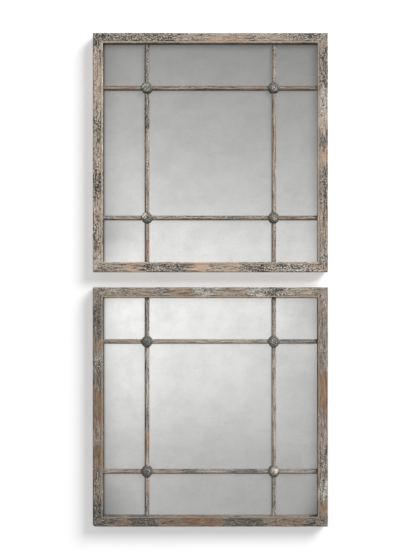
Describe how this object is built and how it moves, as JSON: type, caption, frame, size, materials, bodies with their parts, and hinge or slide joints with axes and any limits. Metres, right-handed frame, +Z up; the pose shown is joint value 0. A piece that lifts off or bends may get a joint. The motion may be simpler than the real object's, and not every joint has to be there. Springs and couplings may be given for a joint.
{
  "type": "window-pane wall mirror pair",
  "caption": "Matching nearly square wall mirrors in rubbed, painted wooden frames, parted into panes by glazing bars with a cast rosette on each crossing, hung one above the other.",
  "frame": {"origin": "middle of the strip of bare wall between the two mirrors, on the face of the wall, where the bumpers touch it", "axes": "+X to the right as seen from the room, +Y into the wall, +Z up; the fronts of the mirrors face -Y"},
  "size_m": [0.457, 0.03, 0.959],
  "materials": {
    "upper_frame_paint": "ivory and slate paint rubbed back to pinkish-tan wood, matt",
    "lower_frame_paint": "ivory and slate paint rubbed back to brown wood, matt",
    "upper_bar_paint": "rubbed grey-green and ivory paint, matt",
    "lower_bar_paint": "rubbed grey-green and ivory paint, matt",
    "rosette_metal": "dark pewter grey-green with rubbed highlights",
    "mirror_glass": "lightly antiqued silvering",
    "backing_board": "brown hardboard",
    "steel": "zinc plated",
    "hanger_steel": "nickel plated",
    "bumper_rubber": "soft black rubber"
  },
  "bodies": {
    "mirrors": {"upper_top_rail": "upper_frame_paint", "upper_bottom_rail": "upper_frame_paint", "upper_left_stile": "upper_frame_paint", "upper_right_stile": "upper_frame_paint", "upper_left_glazing_bar": "upper_bar_paint", "upper_right_glazing_bar": "upper_bar_paint", "upper_top_glazing_bar": "upper_bar_paint", "upper_bottom_glazing_bar": "upper_bar_paint", "upper_top_left_rosette": "rosette_metal", "upper_top_left_corner_nail": "steel", "upper_top_right_rosette": "rosette_metal", "upper_top_right_corner_nail": "steel", "upper_bottom_left_rosette": "rosette_metal", "upper_bottom_left_corner_nail": "steel", "upper_bottom_right_rosette": "rosette_metal", "upper_bottom_right_corner_nail": "steel", "upper_mirror_glass": "mirror_glass", "upper_backing_board": "backing_board", "upper_top_glazing_point": "steel", "upper_bottom_glazing_point": "steel", "upper_left_glazing_point": "steel", "upper_right_glazing_point": "steel", "upper_left_hanger_strap": "hanger_steel", "upper_left_hanger_screw": "steel", "upper_left_wall_bumper": "bumper_rubber", "upper_right_hanger_strap": "hanger_steel", "upper_right_hanger_screw": "steel", "upper_right_wall_bumper": "bumper_rubber", "lower_top_rail": "lower_frame_paint", "lower_bottom_rail": "lower_frame_paint", "lower_left_stile": "lower_frame_paint", "lower_right_stile": "lower_frame_paint", "lower_left_glazing_bar": "lower_bar_paint", "lower_right_glazing_bar": "lower_bar_paint", "lower_top_glazing_bar": "lower_bar_paint", "lower_bottom_glazing_bar": "lower_bar_paint", "lower_top_left_rosette": "rosette_metal", "lower_top_left_corner_nail": "steel", "lower_top_right_rosette": "rosette_metal", "lower_top_right_corner_nail": "steel", "lower_bottom_left_rosette": "rosette_metal", "lower_bottom_left_corner_nail": "steel", "lower_bottom_right_rosette": "rosette_metal", "lower_bottom_right_corner_nail": "steel", "lower_mirror_glass": "mirror_glass", "lower_backing_board": "backing_board", "lower_top_glazing_point": "steel", "lower_bottom_glazing_point": "steel", "lower_left_glazing_point": "steel", "lower_right_glazing_point": "steel", "lower_left_hanger_strap": "hanger_steel", "lower_left_hanger_screw": "steel", "lower_left_wall_bumper": "bumper_rubber", "lower_right_hanger_strap": "hanger_steel", "lower_right_hanger_screw": "steel", "lower_right_wall_bumper": "bumper_rubber"},
    "upper_left_ring": {"upper_left_hanger_ring": "hanger_steel"},
    "upper_right_ring": {"upper_right_hanger_ring": "hanger_steel"},
    "lower_left_ring": {"lower_left_hanger_ring": "hanger_steel"},
    "lower_right_ring": {"lower_right_hanger_ring": "hanger_steel"}
  },
  "joints": [
    {"name": "upper_left_ring_swing", "type": "hinge", "parent": "mirrors", "child": "upper_left_ring", "pos_m": [-0.2215, -0.0029, 0.3695], "axis": [1, 0, 0], "range_deg": [0, 180]},
    {"name": "upper_right_ring_swing", "type": "hinge", "parent": "mirrors", "child": "upper_right_ring", "pos_m": [0.2215, -0.0029, 0.3695], "axis": [1, 0, 0], "range_deg": [0, 180]},
    {"name": "lower_left_ring_swing", "type": "hinge", "parent": "mirrors", "child": "lower_left_ring", "pos_m": [-0.2215, -0.0029, -0.1245], "axis": [1, 0, 0], "range_deg": [0, 180]},
    {"name": "lower_right_ring_swing", "type": "hinge", "parent": "mirrors", "child": "lower_right_ring", "pos_m": [0.2215, -0.0029, -0.1245], "axis": [1, 0, 0], "range_deg": [0, 180]}
  ]
}
